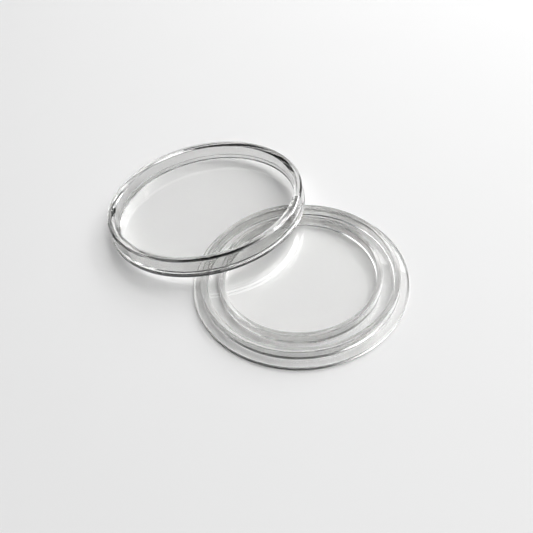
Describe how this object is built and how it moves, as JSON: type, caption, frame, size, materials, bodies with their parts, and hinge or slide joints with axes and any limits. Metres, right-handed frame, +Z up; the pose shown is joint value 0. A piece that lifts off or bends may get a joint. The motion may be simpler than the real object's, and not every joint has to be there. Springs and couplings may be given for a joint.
{
  "type": "coin capsule",
  "caption": "Round clear plastic coin capsule: a flanged base with a ring seat for one coin, and a shallow press-on lid, shown open.",
  "frame": {"origin": "centre of the base's underside", "axes": "+Z up along the base's axis, out of the coin seat; the lid lies towards -X and +Y"},
  "size_m": [0.0629, 0.067, 0.0088],
  "materials": {
    "clear_plastic": "clear colourless moulded plastic, taken to be polystyrene, glossy and see-through, with fine moulding marks on the rims"
  },
  "bodies": {
    "base": {"base": "clear_plastic"},
    "lid": {"lid": "clear_plastic"}
  },
  "joints": [
    {"name": "lid_lift", "type": "slide", "parent": "base", "child": "lid", "axis": [0, 0, 1], "range_m": [0, 0.03]}
  ]
}
